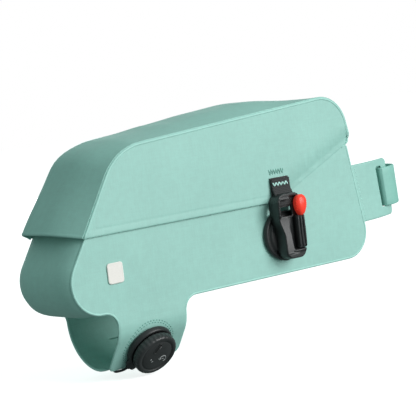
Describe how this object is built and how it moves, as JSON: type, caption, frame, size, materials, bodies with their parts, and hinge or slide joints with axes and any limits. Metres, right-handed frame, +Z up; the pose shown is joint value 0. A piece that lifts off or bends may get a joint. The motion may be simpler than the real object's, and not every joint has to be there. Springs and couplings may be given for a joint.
{
  "type": "top tube bag",
  "caption": "Hard-walled bag with a stepped, crowned lid, side snap buckle, saddle flaps with a lace dial round the bicycle's top tube, and a front strap round the steerer.",
  "frame": {"origin": "on the bag's flat bottom, midway along its length and width, where it sits on the bicycle's top tube", "axes": "+X forwards to the handlebar, +Y to the far side away from the buckle and dial, +Z up out of the tube"},
  "size_m": [0.2881, 0.0753, 0.1564],
  "materials": {
    "mint_fabric": "smooth coated cloth, matt, mint green",
    "mint_lining": "plain cloth tape, darker mint green",
    "pale_patch": "soft moulded patch, pale cream",
    "black_webbing": "ribbed black webbing",
    "black_plastic": "satin black moulded plastic",
    "black_nylon": "fine matt black moulded nylon",
    "red_plastic": "smooth orange-red plastic",
    "black_lace": "thin braided black lace"
  },
  "bodies": {
    "bag": {"side_panel_near": "mint_fabric", "side_panel_far": "mint_fabric", "body_gusset": "mint_fabric", "lid_panel_near": "mint_fabric", "lid_panel_far": "mint_fabric", "lid_gusset": "mint_fabric", "lid_hinge": "mint_lining", "side_patch": "pale_patch", "lid_webbing": "black_webbing", "buckle_base": "black_plastic", "buckle_body": "black_plastic", "dial_base": "black_plastic", "lace": "black_lace", "lace_tunnel": "mint_fabric", "stem_flap_near": "mint_fabric", "stem_strap_far": "mint_fabric"},
    "dial": {"dial_knob": "black_nylon"},
    "lever": {"buckle_lever": "black_plastic", "release_tip": "red_plastic"}
  },
  "joints": [
    {"name": "dial_turn", "type": "hinge", "parent": "bag", "child": "dial", "pos_m": [-0.0655, -0.02117, -0.0259], "axis": [0, -0.809, -0.5878], "continuous": true},
    {"name": "lever_release", "type": "hinge", "parent": "bag", "child": "lever", "pos_m": [0.051, -0.04025, 0.01785], "axis": [1, 0, 0], "range_deg": [0, 35], "stiffness_Nm_per_rad": 0.02}
  ]
}
